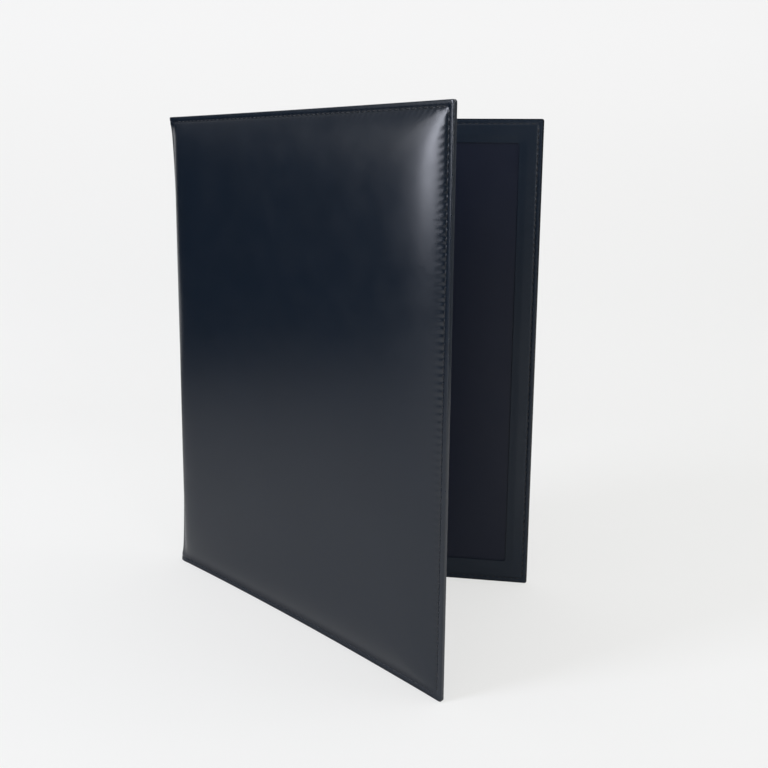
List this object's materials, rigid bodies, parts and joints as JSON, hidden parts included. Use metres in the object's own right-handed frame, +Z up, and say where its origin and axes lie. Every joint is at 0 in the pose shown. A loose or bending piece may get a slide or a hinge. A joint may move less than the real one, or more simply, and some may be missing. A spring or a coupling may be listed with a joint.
{
  "type": "menu cover",
  "caption": "Padded two-leaf leather menu cover for A4 sheets, standing open on its lower hems, with stitched edges, framed inside faces and a limp rounded spine.",
  "frame": {"origin": "middle of the footprint's bounding box, on the surface that the cover stands on", "axes": "+Z up the spine, +X from the spine to the open mouth between the leaves, -Y towards the front leaf's padded face and +Y towards the back leaf's"},
  "size_m": [0.2323, 0.153, 0.31],
  "materials": {
    "outer_leather": "smooth satin bonded leather, nearly black with a cold blue cast",
    "frame_leather": "smooth satin leather, thinner than the outside",
    "lining": "thin matt black leather-like lining",
    "thread": "black polyester sewing thread with a slight sheen",
    "board": "dense grey pulp board, hidden",
    "foam": "soft closed-cell foam sheet, hidden"
  },
  "bodies": {
    "spine": {"spine_leather": "outer_leather", "spine_lining": "lining", "spine_upper_thread": "thread", "spine_bobbin_thread": "thread"},
    "front_leaf": {"front_leather": "outer_leather", "front_foam_pad": "foam", "front_board": "board", "front_lining": "lining", "front_frame": "frame_leather", "front_upper_thread": "thread", "front_bobbin_thread": "thread"},
    "back_leaf": {"back_leather": "outer_leather", "back_foam_pad": "foam", "back_board": "board", "back_lining": "lining", "back_frame": "frame_leather", "back_upper_thread": "thread", "back_bobbin_thread": "thread"}
  },
  "joints": [
    {"name": "front_gutter", "type": "hinge", "parent": "spine", "child": "front_leaf", "pos_m": [-0.11248, -0.0045, 0.155], "axis": [0, 0, -1], "range_deg": [-17.5, 72.5]},
    {"name": "back_gutter", "type": "hinge", "parent": "spine", "child": "back_leaf", "pos_m": [-0.11248, 0.0045, 0.155], "axis": [0, 0, 1], "range_deg": [-17.5, 72.5]}
  ]
}
